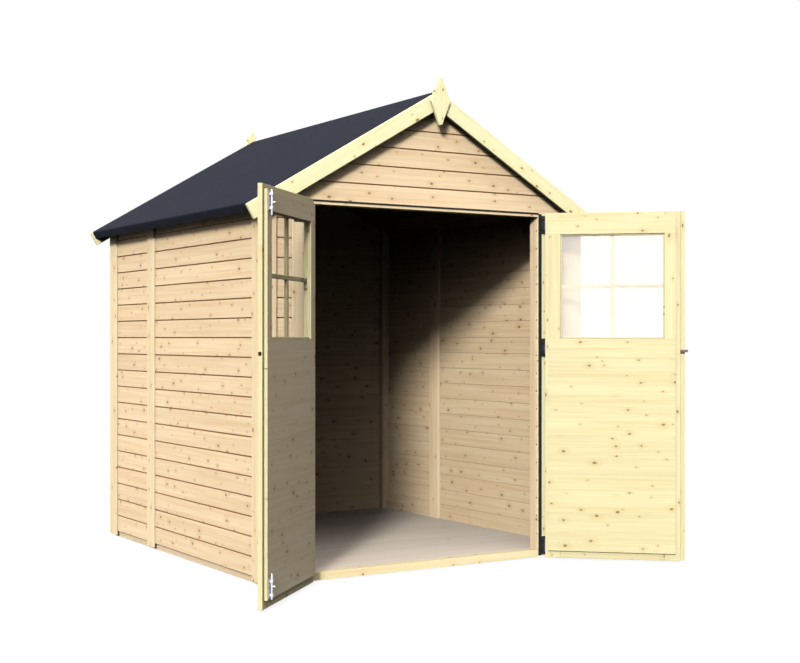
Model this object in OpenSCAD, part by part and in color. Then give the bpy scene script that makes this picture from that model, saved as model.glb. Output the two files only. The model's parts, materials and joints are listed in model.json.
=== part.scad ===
// Wooden garden shed: boarded panel walls, a felted gable roof with barge boards and diamond finials,
// and a pair of framed, glazed doors hung on strap hinges in front of the door trims.
// The origin is on the ground at the middle of the floor, the doors face -Y and +Z is up.

/* [Walls] */
// Mean width of the front wall beside the doorway, out to the corner
front_panel_w = 241.5; // [190:0.5:500]
// Depth over the wall boards, front to back
shed_depth = 1870; // [1400:10:3000]
// Rise of the roof's underside over the door head, at the outer face of the side walls
eaves_rise = 2; // [0:1:300]
// Thickness of the wall boards
wall_t = 12; // [8:1:18]
// How far the wall boards hang below the floor's top
wall_lap = 4; // [1:1:10]
// Length of the narrow rear panel in each side wall
rear_panel_length = 586; // [300:2:900]

/* [Inner frame] */
// Side of the square corner posts and door posts
post_size = 45; // [30:1:60]
// Width of the battens behind the panel joints
batten_w = 90; // [40:2:140]
// Thickness of the battens behind the panel joints
batten_t = 20; // [10:1:40]

/* [Floor] */
// Width of a floor bearer
bearer_w = 45; // [30:1:80]
// Height of a floor bearer
bearer_h = 26; // [20:1:60]
// Number of floor bearers
bearer_count = 5; // [3, 5, 7]
// Distance from the floor's side edge to the outer bearer
bearer_inset = 3; // [1:1:120]
// Thickness of the floor boards
floor_t = 12; // [8:1:20]

/* [Cover strips] */
// Thickness of the cover strips and door trims
strip_t = 10; // [6:1:16]
// Width of the strips on the side walls and the rear joint
side_strip_w = 90; // [50:1:140]
// Width of the corner strips on the front and rear walls
corner_strip_w = 75; // [40:1:110]
// Width of the trim beside the doorway
door_trim_w = 75; // [70:1:120]
// Height of the strips' lower ends above the ground
strip_foot = 12; // [4:1:16]

/* [Roof] */
// Slope of the roof in degrees
roof_pitch = 30.3; // [22:0.1:38]
// Thickness of the roof boards
roof_t = 14; // [10:1:24]
// Thickness of the roofing felt
felt_t = 3; // [1:0.5:6]
// How far the roof boards reach past the side walls, along the slope
eaves_overhang = 101; // [80:1:240]
// How far the roof boards reach past the front and rear walls
gable_overhang = 42; // [20:1:120]
// Width of the batten under the roof's lower edge
eaves_batten_w = 30; // [20:1:50]
// Height of the batten under the roof's lower edge
eaves_batten_h = 24; // [15:1:50]
// Width of a purlin
purlin_w = 45; // [28:1:60]
// Height of a purlin
purlin_h = 70; // [45:1:120]
// Place of the side purlins between ridge and wall
purlin_share = 0.55; // [0.3:0.05:0.8]
// Width of the barge boards
barge_w = 74; // [50:1:120]
// How far the barge boards reach past the felt's fold, along the slope
barge_reach = 10; // [0:1:40]
// How far the barge boards stay below the felt's top
barge_drop = 2.5; // [0:0.5:6]
// Thickness of the barge boards
barge_t = 18; // [12:1:28]
// Width of a finial
finial_w = 107; // [60:1:160]
// Height of a finial
finial_h = 225; // [120:1:320]
// Thickness of a finial
finial_t = 18; // [10:1:28]
// Width of a finial's blunt tips
finial_tip = 14; // [4:1:40]
// Depth of a finial's middle below the ridge
finial_drop = 54; // [20:1:90]

/* [Doorway] */
// Clear width of the doorway
door_width = 1297; // [1100:1:1600]
// How far the doorway's middle stands to the left of the ridge
doorway_shift = 23; // [0:1:40]
// Height of the underside of the door head
head_height = 1694; // [1500:2:2100]
// Thickness of the door head
head_t = 20; // [20:1:24]
// Rise of the sill above the floor
sill_rise = 4; // [0:1:20]
// Height of the sill's lower edge above the ground
sill_foot = 6; // [2:1:10]
// Depth of the sill, front to back
sill_depth = 40; // [34:1:60]

/* [Door leaves] */
// Thickness of the leaf's outer frame
leaf_frame_t = 20; // [18:1:30]
// Thickness of the leaf's inner boards
leaf_board_t = 14; // [8:1:20]
// Gap between a closed leaf and what it closes against
leaf_clear = 5; // [5:0.5:8]
// Gap between the two leaves where they meet
leaf_gap = 6; // [5:0.5:10]
// How far the frame laps over the trim at the hinges
hinge_lap = 8; // [4:1:14]
// How far the frame laps over the door head
head_lap = 15; // [6:1:18]
// Gap between the leaf's inner boards and the doorway's side
board_gap = 8; // [5:0.5:14]
// How far the frame reaches past the inner boards where the leaves meet
meeting_lip = 22; // [10:1:30]
// Height of the leaf's lower edge above the ground
leaf_foot = 11; // [8:1:25]
// Width of the stiles
stile_w = 75; // [72:1:100]
// Width of the top rail
top_rail_w = 107; // [80:1:150]
// Width of the rail under the window
window_rail_w = 90; // [60:1:140]
// Width of the bottom rail
bottom_rail_w = 100; // [92:1:160]
// Height of the window
window_h = 512; // [300:2:700]
// Thickness of the pane
glass_t = 4; // [2:0.5:5]
// Depth of the pane behind the frame's outer face
glass_set = 15; // [8:1:15]
// Opening angle of the left leaf in degrees
left_angle = 136.5; // [0:0.5:168]
// Opening angle of the right leaf in degrees
right_angle = 137; // [0:0.5:168]

/* [Cover moulding between the leaves] */
// Thickness of the moulding
astragal_t = 12; // [9:1:20]
// Width of the moulding on the right leaf
astragal_seat = 20; // [12:1:24]
// How far the moulding reaches past the right leaf
astragal_reach = 22; // [14:1:30]

/* [Hinges] */
// Diameter of the hinge pins
pin_d = 6; // [4:0.5:7]
// Radial gap between pin and strap
pin_gap = 0.3; // [0.2:0.05:0.5]
// Outer diameter of the knuckles
knuckle_d = 12; // [11:0.5:16]
// Gap between a knuckle and the face of the leaf
knuckle_stand = 0.5; // [0.2:0.1:1.5]
// Height of the end knuckles on the fixed plate
end_knuckle_h = 12; // [8:1:20]
// Gap between neighbouring knuckles
knuckle_gap = 0.5; // [0.3:0.1:1]
// Thickness of straps and plates
strap_t = 3; // [2:0.5:4]
// Width of a strap at its knuckle
strap_root_w = 34; // [24:1:44]
// Width of a strap at its tip
strap_tip_w = 22; // [12:1:24]
// Length of a strap
strap_length = 330; // [200:5:420]
// Width of a fixed plate
hinge_plate_w = 50; // [30:1:56]
// Height of a fixed plate
hinge_plate_h = 90; // [75:1:98]

/* [Door bolts] */
// Width of a bolt's base plate
bolt_plate_w = 30; // [24:1:36]
// Height of a bolt's base plate
bolt_plate_h = 80; // [76:1:140]
// Thickness of a bolt's base plate
bolt_plate_t = 2; // [1:0.5:3]
// Diameter of a bolt's rod
bolt_d = 8; // [6:0.5:10]
// Radial gap between a rod and its guides
bolt_gap = 0.3; // [0.2:0.05:0.5]
// Thickness of a guide's wall around the rod
guide_wall = 2.5; // [1.5:0.5:4]
// Height of a guide
guide_h = 12; // [8:1:18]
// Travel of a bolt
bolt_travel = 20; // [14:1:22]
// Gap between a drawn bolt and its hole
bolt_draw = 6; // [5:0.5:10]
// Radial gap between a rod and its hole in sill or head
bolt_hole_gap = 1; // [0.5:0.25:1.5]
// Distance of a bolt's rod from the inner boards' edge
bolt_inset = 27; // [20:1:36]
// Depth of the lock bolt below the window
lock_drop = 60; // [30:1:75]
// Height of the lock bolt
lock_bolt_h = 12; // [8:1:16]
// Thickness of the lock bolt
lock_bolt_t = 10; // [6:1:10]
// Length of the lock bolt
lock_bolt_length = 68; // [50:1:70]
// How far the lock bolt stands out of the leaf
lock_throw = 36; // [20:1:40]
// Gap around the lock bolt in its own leaf
lock_gap = 0.3; // [0.2:0.05:0.5]
// Gap around the lock bolt in the other leaf
keep_gap = 2; // [1:0.25:3]
// Diameter of the door knob
knob_d = 40; // [30:1:50]
// Distance of the door knob from the leaf's edge
knob_inset = 48; // [46:1:52]

/* [Hidden] */
$fn = 48;

// Overrun of every cut past the face it opens
cut_over = 1;
// Gap between the roof boards and what carries or covers them
roof_seat = 0.2;
// How far a strap's knuckle stands past the strap's edges
knuckle_shoulder = 1;
// Diameter and height of a bolt's finger knob
bolt_knob_d = 7;
bolt_knob_length = 16;
// Depth of a bolt's hole past the rod's end
bolt_hole_spare = 2;
// Room behind the drawn lock bolt
lock_spare = 2;
// Thickness and width of the door knob's rose, and the length and diameter of its neck
knob_rose_t = 4;
knob_rose_d = 40;
knob_neck_length = 30;
knob_neck_d = 16;

// Wall planes and levels
half_width = door_width / 2 + front_panel_w;
half_depth = shed_depth / 2;
inner_half_width = half_width - wall_t;
inner_half_depth = half_depth - wall_t;
floor_top = bearer_h + floor_t;
wall_foot = floor_top - wall_lap;
gable_foot = head_height + head_t;
eaves_height = gable_foot + eaves_rise;
panel_joint = half_depth - rear_panel_length;

// Roof lines, measured in the cross-section
slope = tan(roof_pitch);
ridge_under = eaves_height + half_width * slope;
felt_under = roof_t + roof_seat;
roof_top = felt_under + felt_t;
ridge_top = ridge_under + roof_top / cos(roof_pitch);
wall_along = half_width / cos(roof_pitch);
roof_along = wall_along + eaves_overhang;
fold_along = roof_along + roof_seat;
felt_along = fold_along + felt_t;
roof_half_depth = half_depth + gable_overhang;

// Doorway planes
doorway_half = door_width / 2;
trim_front = half_depth + strip_t;
sill_top = floor_top + sill_rise;
sill_back = trim_front - sill_depth;

// A leaf's own frame: u runs from the hinge pin to the meeting edge, v from the outside to the room
pin_out = knuckle_d / 2 + knuckle_stand;
pin_x = doorway_half + hinge_lap + pin_out;
pin_y = -(trim_front + leaf_clear + leaf_frame_t + pin_out);
leaf_start = pin_out;
leaf_end = pin_x - leaf_gap / 2;
leaf_top = head_height + head_lap;
frame_back = pin_out + leaf_frame_t;
board_back = frame_back + leaf_board_t;
trim_v = frame_back + leaf_clear;
board_start = pin_x - doorway_half + board_gap;
board_end = leaf_end - meeting_lip;
board_foot = sill_top + leaf_clear;
board_top = head_height - leaf_clear;
window_start = leaf_start + stile_w;
window_end = leaf_end - stile_w;
window_top = leaf_top - top_rail_w;
window_foot = window_top - window_h;
strap_knuckle_h = strap_root_w + 2 * knuckle_shoulder;
hinge_levels = [
    leaf_foot + bottom_rail_w / 2, window_foot - window_rail_w / 2, leaf_top - top_rail_w / 2
];
bolt_u = board_end - bolt_inset;
bolt_v = board_back + bolt_plate_t + bolt_d / 2 + guide_wall;
bolt_length = bolt_plate_h + 2 * guide_h;
top_bolt_end = head_height - bolt_draw;
bottom_bolt_end = sill_top + bolt_draw;
lock_v = pin_out + leaf_frame_t / 2;
lock_height = window_foot - lock_drop;

// Height of what carries the roof boards, at a distance from the ridge line
function roof_under(x) = ridge_under - slope * abs(x) - roof_seat;

// Point of the cross-section, along the slope from the ridge and out from the roof boards' underside
function slope_point(along, out) = [
    along * cos(roof_pitch) + out * sin(roof_pitch),
    ridge_under - along * sin(roof_pitch) + out * cos(roof_pitch)
];

// Point of the plumb joint at the ridge, out from the roof boards' underside
function ridge_point(out) = [0, ridge_under + out / cos(roof_pitch)];

// The same point on the left-hand side
function across(point) = [-point[0], point[1]];

// Plain board or post between two corners
module board(low, high) {
    translate(low)
        cube(high - low);
}

// Cross-section outline drawn out between two depths
module along_depth(y_from, y_to) {
    translate([0, y_to, 0])
        rotate([90, 0, 0])
            linear_extrude(height = y_to - y_from)
                children();
}

// Board on the front or rear wall with an upper end cut to the roof's slope, on the right-hand side
module roof_cut_board(x_from, x_to, y_from, y_to, foot) {
    along_depth(y_from, y_to)
        polygon([[x_from, foot], [x_to, foot], [x_to, roof_under(x_to)], [x_from, roof_under(x_from)]]);
}

// The same shape on both sides of the middle plane
module both_sides() {
    children();
    mirror([1, 0, 0])
        children();
}

// The same shape at the front and at the rear
module front_and_rear() {
    children();
    mirror([0, 1, 0])
        children();
}

// Right-hand side wall panel between two depths
module side_panel(y_from, y_to) {
    roof_cut_board(inner_half_width, half_width, y_from, y_to, wall_foot);
}

// Triangular wall above the door head, at the rear
module gable() {
    along_depth(inner_half_depth, half_depth)
        polygon([
            [-inner_half_width, gable_foot], [inner_half_width, gable_foot],
            [inner_half_width, roof_under(inner_half_width)], [0, roof_under(0)],
            [-inner_half_width, roof_under(inner_half_width)]
        ]);
}

// Outline on the right-hand slope from the plumb ridge joint to a square lower end
module slope_outline(along, out_from, out_to) {
    polygon([
        ridge_point(out_from), slope_point(along, out_from), slope_point(along, out_to), ridge_point(out_to)
    ]);
}

// Outline of a batten under the right-hand slope
module batten_outline(along_from, width, height) {
    polygon([
        slope_point(along_from, -roof_seat - height), slope_point(along_from + width, -roof_seat - height),
        slope_point(along_from + width, -roof_seat), slope_point(along_from, -roof_seat)
    ]);
}

// Roof boards of the right-hand slope
module roof_deck() {
    along_depth(-roof_half_depth, roof_half_depth)
        slope_outline(roof_along, 0, roof_t);
}

// Barge board on the right-hand side of the rear gable
module barge_board() {
    barge_top = roof_top - barge_drop;
    along_depth(roof_half_depth, roof_half_depth + barge_t)
        slope_outline(felt_along + barge_reach, barge_top - barge_w, barge_top);
}

// Diamond on the rear gable
module finial() {
    half_tip = finial_tip / 2;
    half_w = finial_w / 2;
    half_h = finial_h / 2;
    translate([0, 0, ridge_top - finial_drop])
        along_depth(roof_half_depth + barge_t, roof_half_depth + barge_t + finial_t)
            polygon([
                [-half_tip, -half_h], [half_tip, -half_h], [half_w, 0],
                [half_tip, half_h], [-half_tip, half_h], [-half_w, 0]
            ]);
}

// What belongs to the doorway, set on the doorway's middle plane
module at_doorway() {
    translate([-doorway_shift, 0, 0])
        children();
}

// A leaf's own frame set on the left hinge line
module at_left_hinge(open) {
    at_doorway()
        translate([-pin_x, pin_y, 0])
            rotate([0, 0, -open])
                children();
}

// A leaf's own frame set on the right hinge line
module at_right_hinge(open) {
    at_doorway()
        mirror([1, 0, 0])
            translate([-pin_x, pin_y, 0])
                rotate([0, 0, -open])
                    children();
}

// One copy for each hinge of a leaf, at the middle of a rail
module each_hinge() {
    for (level = hinge_levels)
        translate([0, 0, level])
            children();
}

// Fixed half of a hinge: a plate on the trim, cranked forward to two knuckles and the pin
module hinge_plate() {
    knuckle_from = strap_knuckle_h / 2 + knuckle_gap;
    plate_from = -pin_out + strap_t;
    board([plate_from - hinge_plate_w, trim_v - strap_t, -hinge_plate_h / 2],
        [plate_from, trim_v, hinge_plate_h / 2]);
    for (low = [knuckle_from, -knuckle_from - end_knuckle_h]) {
        translate([0, 0, low])
            cylinder(d = knuckle_d, h = end_knuckle_h);
        board([-pin_out, 0, low], [plate_from, trim_v, low + end_knuckle_h]);
    }
    translate([0, 0, -knuckle_from - end_knuckle_h])
        cylinder(d = pin_d, h = 2 * (knuckle_from + end_knuckle_h));
}

// Moving half of a hinge: a tapered strap on the leaf's face with the middle knuckle
module hinge_strap() {
    tip_r = strap_tip_w / 2;
    root_r = strap_root_w / 2;
    difference() {
        union() {
            translate([0, pin_out, 0])
                rotate([90, 0, 0])
                    linear_extrude(height = strap_t) {
                        polygon([
                            [0, -root_r], [strap_length - tip_r, -tip_r],
                            [strap_length - tip_r, tip_r], [0, root_r]
                        ]);
                        translate([strap_length - tip_r, 0])
                            circle(r = tip_r);
                    }
            translate([0, 0, -strap_knuckle_h / 2])
                cylinder(d = knuckle_d, h = strap_knuckle_h);
        }
        translate([0, 0, -strap_knuckle_h / 2 - cut_over])
            cylinder(r = pin_d / 2 + pin_gap, h = strap_knuckle_h + 2 * cut_over);
    }
}

// Upright of a leaf's frame
module stile(u_from) {
    board([u_from, leaf_start, leaf_foot], [u_from + stile_w, frame_back, leaf_top]);
}

// Mortise in the meeting stile at the lock's height
module lock_mortise(depth, gap) {
    half_t = lock_bolt_t / 2 + gap;
    half_h = lock_bolt_h / 2 + gap;
    board([leaf_end - depth, lock_v - half_t, lock_height - half_h],
        [leaf_end + cut_over, lock_v + half_t, lock_height + half_h]);
}

// Both uprights of a leaf, the meeting one with its mortise
module stiles(mortise_depth, mortise_gap) {
    stile(leaf_start);
    difference() {
        stile(window_end);
        lock_mortise(mortise_depth, mortise_gap);
    }
}

// Three rails between the stiles
module rails() {
    for (span = [
        [leaf_foot, leaf_foot + bottom_rail_w],
        [window_foot - window_rail_w, window_foot],
        [window_top, leaf_top]
    ])
        board([window_start, leaf_start, span[0]], [window_end, frame_back, span[1]]);
}

// Inner boards under and over the window
module inner_boards() {
    board([board_start, frame_back, board_foot], [board_end, board_back, window_foot]);
    board([board_start, frame_back, window_top], [board_end, board_back, board_top]);
}

// Inner boards at both sides of the window
module inner_side_boards() {
    board([board_start, frame_back, window_foot], [window_start, board_back, window_top]);
    board([window_end, frame_back, window_foot], [board_end, board_back, window_top]);
}

// Pane held in the frame
module pane() {
    pane_front = leaf_start + glass_set;
    board([window_start, pane_front, window_foot], [window_end, pane_front + glass_t, window_top]);
}

// Base plate of a tower bolt with its two guides, its outer end at the given height
module bolt_plate(low) {
    half_w = bolt_plate_w / 2;
    guide_half = bolt_d / 2 + bolt_gap + guide_wall;
    difference() {
        union() {
            board([bolt_u - half_w, board_back, low],
                [bolt_u + half_w, board_back + bolt_plate_t, low + bolt_plate_h]);
            for (guide_low = [low + guide_h / 2, low + bolt_plate_h - guide_h * 3 / 2])
                board([bolt_u - guide_half, board_back, guide_low],
                    [bolt_u + guide_half, bolt_v + guide_half, guide_low + guide_h]);
        }
        translate([bolt_u, bolt_v, low - cut_over])
            cylinder(r = bolt_d / 2 + bolt_gap, h = bolt_plate_h + 2 * cut_over);
    }
}

// Rod of a tower bolt with its finger knob
module bolt_rod(low) {
    translate([bolt_u, bolt_v, low])
        cylinder(d = bolt_d, h = bolt_length);
    translate([bolt_u, bolt_v, low + bolt_length / 2])
        rotate([-90, 0, 0])
            cylinder(d = bolt_knob_d, h = bolt_knob_length);
}

// Blind hole that a tower bolt's rod enters, from a level upwards
module bolt_hole(low) {
    translate([-pin_x + bolt_u, pin_y + bolt_v, low])
        cylinder(r = bolt_d / 2 + bolt_hole_gap, h = bolt_travel - bolt_draw + bolt_hole_spare + cut_over);
}

module floor_bearers() {
    edge = inner_half_width - bearer_inset - bearer_w / 2;
    color("#8a7458")
        for (i = [0 : bearer_count - 1])
            translate([-edge + i * 2 * edge / (bearer_count - 1), 0, 0])
                board([-bearer_w / 2, -sill_back, 0], [bearer_w / 2, inner_half_depth, bearer_h]);
}

module floor_deck() {
    color("#c4b4a0")
        difference() {
            board([-inner_half_width, -inner_half_depth, bearer_h],
                [inner_half_width, inner_half_depth, floor_top]);
            at_doorway()
                board([-doorway_half, -inner_half_depth - cut_over, bearer_h - cut_over],
                    [doorway_half, -sill_back, floor_top + cut_over]);
        }
}

module door_sill() {
    hole_depth = bolt_travel - bolt_draw + bolt_hole_spare;
    color("#f2e2b4")
        at_doorway()
            difference() {
                board([-doorway_half, -trim_front, sill_foot], [doorway_half, -sill_back, sill_top]);
                bolt_hole(sill_top - hole_depth);
            }
}

module left_wall_front_panel() {
    color("#ecd0a2")
        mirror([1, 0, 0])
            side_panel(-half_depth, panel_joint);
}

module left_wall_rear_panel() {
    color("#ecd0a2")
        mirror([1, 0, 0])
            side_panel(panel_joint, half_depth);
}

module right_wall_front_panel() {
    color("#ecd0a2")
        side_panel(-half_depth, panel_joint);
}

module right_wall_rear_panel() {
    color("#ecd0a2")
        side_panel(panel_joint, half_depth);
}

module rear_wall_left_panel() {
    color("#ecd0a2")
        board([-inner_half_width, inner_half_depth, wall_foot], [0, half_depth, gable_foot]);
}

module rear_wall_right_panel() {
    color("#ecd0a2")
        board([0, inner_half_depth, wall_foot], [inner_half_width, half_depth, gable_foot]);
}

module rear_gable() {
    color("#e0c192")
        gable();
}

module front_wall_side_panels() {
    color("#ecd0a2") {
        board([-inner_half_width, -half_depth, wall_foot],
            [-doorway_shift - doorway_half, -inner_half_depth, gable_foot]);
        board([-doorway_shift + doorway_half, -half_depth, wall_foot],
            [inner_half_width, -inner_half_depth, gable_foot]);
    }
}

module front_gable() {
    color("#e0c192")
        mirror([0, 1, 0])
            gable();
}

module corner_posts() {
    color("#e3c696")
        front_and_rear()
            both_sides()
                roof_cut_board(inner_half_width - post_size, inner_half_width,
                    inner_half_depth - post_size, inner_half_depth, floor_top);
}

module joint_battens() {
    color("#e3c696") {
        both_sides()
            roof_cut_board(inner_half_width - batten_t, inner_half_width,
                panel_joint - batten_w / 2, panel_joint + batten_w / 2, floor_top);
        board([-batten_w / 2, inner_half_depth - batten_t, floor_top],
            [batten_w / 2, inner_half_depth, gable_foot]);
    }
}

module door_posts() {
    color("#e3c696")
        at_doorway()
            both_sides()
                board([doorway_half, -inner_half_depth, floor_top],
                    [doorway_half + post_size, -inner_half_depth + post_size, head_height]);
}

module door_head() {
    hole_depth = bolt_travel - bolt_draw + bolt_hole_spare;
    color("#f2e2b4")
        at_doorway()
            difference() {
                union() {
                    board([-doorway_half, -trim_front, head_height],
                        [doorway_half, -inner_half_depth, gable_foot]);
                    board([-doorway_half - post_size, -inner_half_depth, head_height],
                        [doorway_half + post_size, -inner_half_depth + post_size, gable_foot]);
                }
                bolt_hole(head_height - cut_over);
            }
}

module side_cover_strips() {
    color("#f2dcae")
        both_sides()
            for (y_from = [-half_depth, panel_joint - side_strip_w / 2, half_depth - side_strip_w])
                roof_cut_board(half_width, half_width + strip_t, y_from, y_from + side_strip_w, strip_foot);
}

module gable_cover_strips() {
    strip_outer = half_width + strip_t;
    color("#f2dcae") {
        front_and_rear()
            both_sides()
                roof_cut_board(strip_outer - corner_strip_w, strip_outer, half_depth, trim_front, strip_foot);
        board([-side_strip_w / 2, half_depth, strip_foot], [side_strip_w / 2, trim_front, gable_foot]);
    }
}

module door_trims() {
    color("#f2dcae")
        at_doorway()
            both_sides()
                board([doorway_half, -trim_front, strip_foot],
                    [doorway_half + door_trim_w, -half_depth, gable_foot]);
}

module left_roof_deck() {
    color("#d9bd8e")
        mirror([1, 0, 0])
            roof_deck();
}

module right_roof_deck() {
    color("#d9bd8e")
        roof_deck();
}

module roof_felt() {
    right_edge = [
        slope_point(felt_along, roof_top), slope_point(felt_along, -eaves_batten_h),
        slope_point(fold_along, -eaves_batten_h), slope_point(fold_along, felt_under)
    ];
    left_edge = [for (i = [len(right_edge) - 1 : -1 : 0]) across(right_edge[i])];
    color("#42454f")
        along_depth(-roof_half_depth, roof_half_depth)
            polygon(concat([ridge_point(roof_top)], right_edge, [ridge_point(felt_under)], left_edge));
}

module eaves_battens() {
    color("#d9bd8e")
        both_sides()
            along_depth(-roof_half_depth, roof_half_depth)
                batten_outline(roof_along - eaves_batten_w, eaves_batten_w, eaves_batten_h - roof_seat);
}

module roof_purlins() {
    half_w = purlin_w / 2;
    ridge_foot = roof_under(half_w) - purlin_h;
    color("#d9bd8e") {
        both_sides()
            along_depth(-inner_half_depth, inner_half_depth)
                batten_outline(wall_along * purlin_share, purlin_w, purlin_h);
        along_depth(-inner_half_depth, inner_half_depth)
            polygon([
                [-half_w, ridge_foot], [half_w, ridge_foot], [half_w, roof_under(half_w)],
                [0, roof_under(0)], [-half_w, roof_under(half_w)]
            ]);
    }
}

module front_left_barge_board() {
    color("#f5e8bb")
        rotate([0, 0, 180])
            barge_board();
}

module front_right_barge_board() {
    color("#f5e8bb")
        mirror([0, 1, 0])
            barge_board();
}

module rear_left_barge_board() {
    color("#f5e8bb")
        mirror([1, 0, 0])
            barge_board();
}

module rear_right_barge_board() {
    color("#f5e8bb")
        barge_board();
}

module front_finial() {
    color("#f5e8bb")
        mirror([0, 1, 0])
            finial();
}

module rear_finial() {
    color("#f5e8bb")
        finial();
}

module left_hinge_plates() {
    color("#2a2a2c")
        at_left_hinge(0)
            each_hinge()
                hinge_plate();
}

module right_hinge_plates() {
    color("#2a2a2c")
        at_right_hinge(0)
            each_hinge()
                hinge_plate();
}

module left_door_stiles() {
    color("#f0deb0")
        at_left_hinge(left_angle)
            stiles(lock_throw + leaf_gap, keep_gap);
}

module left_door_rails() {
    color("#f0deb0")
        at_left_hinge(left_angle)
            rails();
}

module left_door_boards() {
    color("#eed6a8")
        at_left_hinge(left_angle)
            inner_boards();
}

module left_door_side_boards() {
    color("#eed6a8")
        at_left_hinge(left_angle)
            inner_side_boards();
}

module left_door_glass() {
    color("#dfe8ea", 0.4)
        at_left_hinge(left_angle)
            pane();
}

module left_hinge_straps() {
    color("#2a2a2c")
        at_left_hinge(left_angle)
            each_hinge()
                hinge_strap();
}

module bolt_plates() {
    color("gainsboro")
        at_left_hinge(left_angle) {
            bolt_plate(top_bolt_end - guide_h / 2 - bolt_plate_h);
            bolt_plate(bottom_bolt_end + guide_h / 2);
        }
}

module left_top_bolt() {
    color("gainsboro")
        at_left_hinge(left_angle)
            bolt_rod(top_bolt_end - bolt_length);
}

module left_bottom_bolt() {
    color("gainsboro")
        at_left_hinge(left_angle)
            bolt_rod(bottom_bolt_end);
}

module right_door_stiles() {
    color("#f0deb0")
        at_right_hinge(right_angle)
            stiles(lock_bolt_length + lock_spare, lock_gap);
}

module right_door_rails() {
    color("#f0deb0")
        at_right_hinge(right_angle)
            rails();
}

module right_door_boards() {
    color("#eed6a8")
        at_right_hinge(right_angle)
            inner_boards();
}

module right_door_side_boards() {
    color("#eed6a8")
        at_right_hinge(right_angle)
            inner_side_boards();
}

module right_door_glass() {
    color("#dfe8ea", 0.4)
        at_right_hinge(right_angle)
            pane();
}

module right_hinge_straps() {
    color("#2a2a2c")
        at_right_hinge(right_angle)
            each_hinge()
                hinge_strap();
}

module right_door_astragal() {
    front = leaf_start - astragal_t;
    color("#f5e8bb")
        at_right_hinge(right_angle)
            translate([0, 0, leaf_foot])
                linear_extrude(height = leaf_top - leaf_foot)
                    polygon([
                        [leaf_end - astragal_seat, front], [leaf_end + astragal_reach, front],
                        [leaf_end + astragal_reach, leaf_start - leaf_clear],
                        [leaf_end, leaf_start - leaf_clear],
                        [leaf_end, leaf_start], [leaf_end - astragal_seat, leaf_start]
                    ]);
}

module lock_bolt() {
    bolt_from = leaf_end + lock_throw - lock_bolt_length;
    color("#6e5046")
        at_right_hinge(right_angle)
            board([bolt_from, lock_v - lock_bolt_t / 2, lock_height - lock_bolt_h / 2],
                [leaf_end + lock_throw, lock_v + lock_bolt_t / 2, lock_height + lock_bolt_h / 2]);
}

module door_knob() {
    color("#6e5046")
        at_right_hinge(right_angle)
            translate([leaf_end - knob_inset, leaf_start, lock_height])
                rotate([90, 0, 0]) {
                    cylinder(d = knob_rose_d, h = knob_rose_t);
                    cylinder(d = knob_neck_d, h = knob_neck_length);
                    translate([0, 0, knob_neck_length])
                        sphere(d = knob_d);
                }
}

floor_bearers();
floor_deck();
door_sill();
left_wall_front_panel();
left_wall_rear_panel();
right_wall_front_panel();
right_wall_rear_panel();
rear_wall_left_panel();
rear_wall_right_panel();
rear_gable();
front_wall_side_panels();
front_gable();
corner_posts();
joint_battens();
door_posts();
door_head();
side_cover_strips();
gable_cover_strips();
door_trims();
left_roof_deck();
right_roof_deck();
roof_felt();
eaves_battens();
roof_purlins();
front_left_barge_board();
front_right_barge_board();
rear_left_barge_board();
rear_right_barge_board();
front_finial();
rear_finial();
left_hinge_plates();
right_hinge_plates();
left_door_stiles();
left_door_rails();
left_door_boards();
left_door_side_boards();
left_door_glass();
left_hinge_straps();
bolt_plates();
left_top_bolt();
left_bottom_bolt();
right_door_stiles();
right_door_rails();
right_door_boards();
right_door_side_boards();
right_door_glass();
right_hinge_straps();
right_door_astragal();
lock_bolt();
door_knob();
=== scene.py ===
import json
import math
import random

import bmesh
import bpy
from mathutils import Matrix, Vector, noise


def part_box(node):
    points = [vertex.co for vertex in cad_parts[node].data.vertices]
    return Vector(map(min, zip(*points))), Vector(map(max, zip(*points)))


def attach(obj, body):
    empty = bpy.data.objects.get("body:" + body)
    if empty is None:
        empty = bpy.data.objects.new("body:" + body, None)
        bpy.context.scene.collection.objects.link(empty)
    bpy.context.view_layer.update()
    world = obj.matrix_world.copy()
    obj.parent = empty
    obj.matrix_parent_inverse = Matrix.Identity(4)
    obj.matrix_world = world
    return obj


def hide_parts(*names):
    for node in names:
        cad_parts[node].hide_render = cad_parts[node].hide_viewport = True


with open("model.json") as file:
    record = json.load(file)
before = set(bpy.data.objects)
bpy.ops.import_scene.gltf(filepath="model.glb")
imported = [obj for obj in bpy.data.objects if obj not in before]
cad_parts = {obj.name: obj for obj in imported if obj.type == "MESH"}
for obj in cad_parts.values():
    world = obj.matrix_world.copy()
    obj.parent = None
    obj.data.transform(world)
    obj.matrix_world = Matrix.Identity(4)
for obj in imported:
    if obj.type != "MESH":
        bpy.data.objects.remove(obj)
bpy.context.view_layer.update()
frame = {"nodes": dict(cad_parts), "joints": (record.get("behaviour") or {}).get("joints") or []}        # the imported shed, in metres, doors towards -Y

scene = bpy.context.scene
rng = random.Random(23)
limits = {
    "weld": 0.00002,     # doubles in a CAD mesh
    "cut": 0.00001,      # points on a cutting plane
    "touch": 0.0001,     # points in one plane
    "near": 0.001,       # lengths that count as the same
    "ridge": 0.01,       # timbers this close to the ridge stand upright
    "square": 0.99,      # a normal's share along the axis it faces
    "room": 0.9,         # the same for faces, with their eased edges, that look into the room
    "crease": math.radians(40),
}
print("frame loaded:", len(frame["nodes"]), "nodes")


# Readings from the frame

def span(points):
    # lowest and highest corner of a cloud of points
    return tuple(Vector([pick(point[i] for point in points) for i in range(3)]) for pick in (min, max))


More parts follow.
